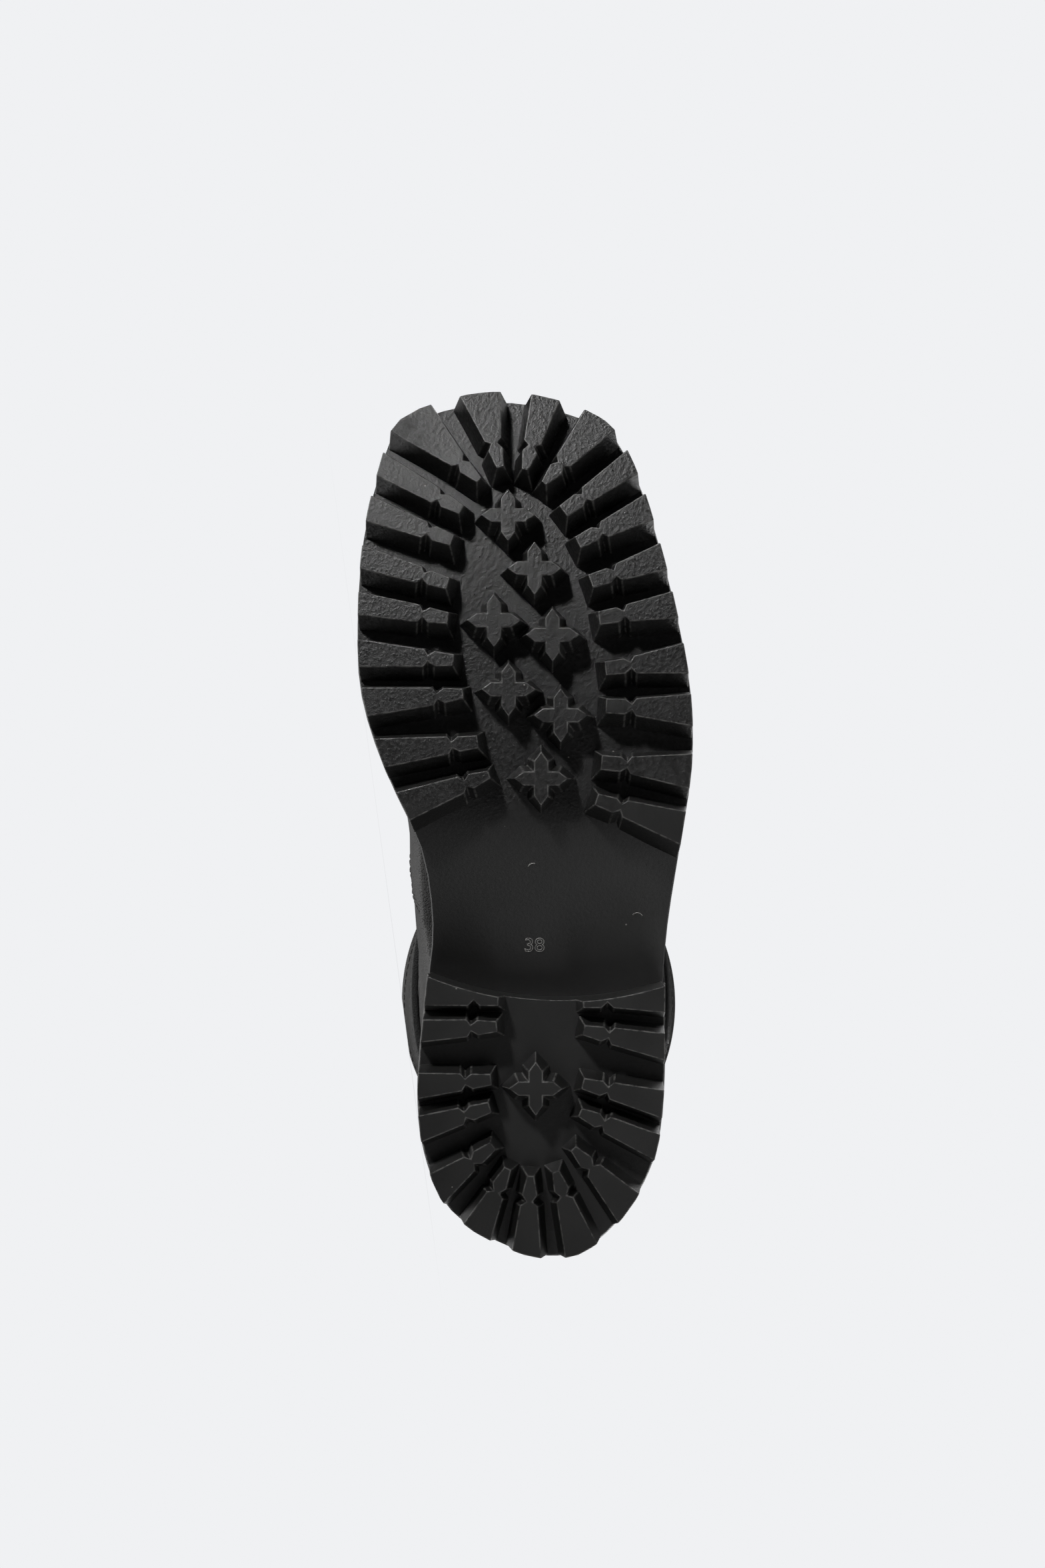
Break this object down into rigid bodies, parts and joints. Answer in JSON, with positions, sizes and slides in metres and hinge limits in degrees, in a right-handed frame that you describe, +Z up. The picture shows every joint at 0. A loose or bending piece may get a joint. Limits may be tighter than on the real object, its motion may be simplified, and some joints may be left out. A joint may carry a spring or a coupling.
{
  "type": "biker boot",
  "caption": "Left biker boot with deep notched lug sole, separate heel, plain hollow leather upper and shaft, and a buckled ankle strap, lying on its medial side",
  "frame": {"origin": "middle of the base of the bounding box, on the surface that the boot lies on", "axes": "+Z up out of the lateral side, toe towards -X, sole towards -Y and collar towards +Y, with the boot lying on its medial side"},
  "size_m": [0.293, 0.287, 0.1124],
  "materials": {
    "sole_rubber": "matte black moulded rubber, fine grain",
    "midsole_rubber": "satin black rubber",
    "upper_leather": "black grained leather, low sheen",
    "strap_leather": "black leather with stitched edges",
    "insole_cloth": "dark cloth sock",
    "buckle_metal": "brushed nickel plate"
  },
  "bodies": {
    "root": {"outsole": "sole_rubber", "heel": "sole_rubber", "midsole": "midsole_rubber", "upper": "upper_leather", "insole": "insole_cloth", "ankle_strap": "strap_leather", "strap_keeper": "strap_leather", "buckle_frame": "buckle_metal", "buckle_prong": "buckle_metal"}
  },
  "joints": []
}
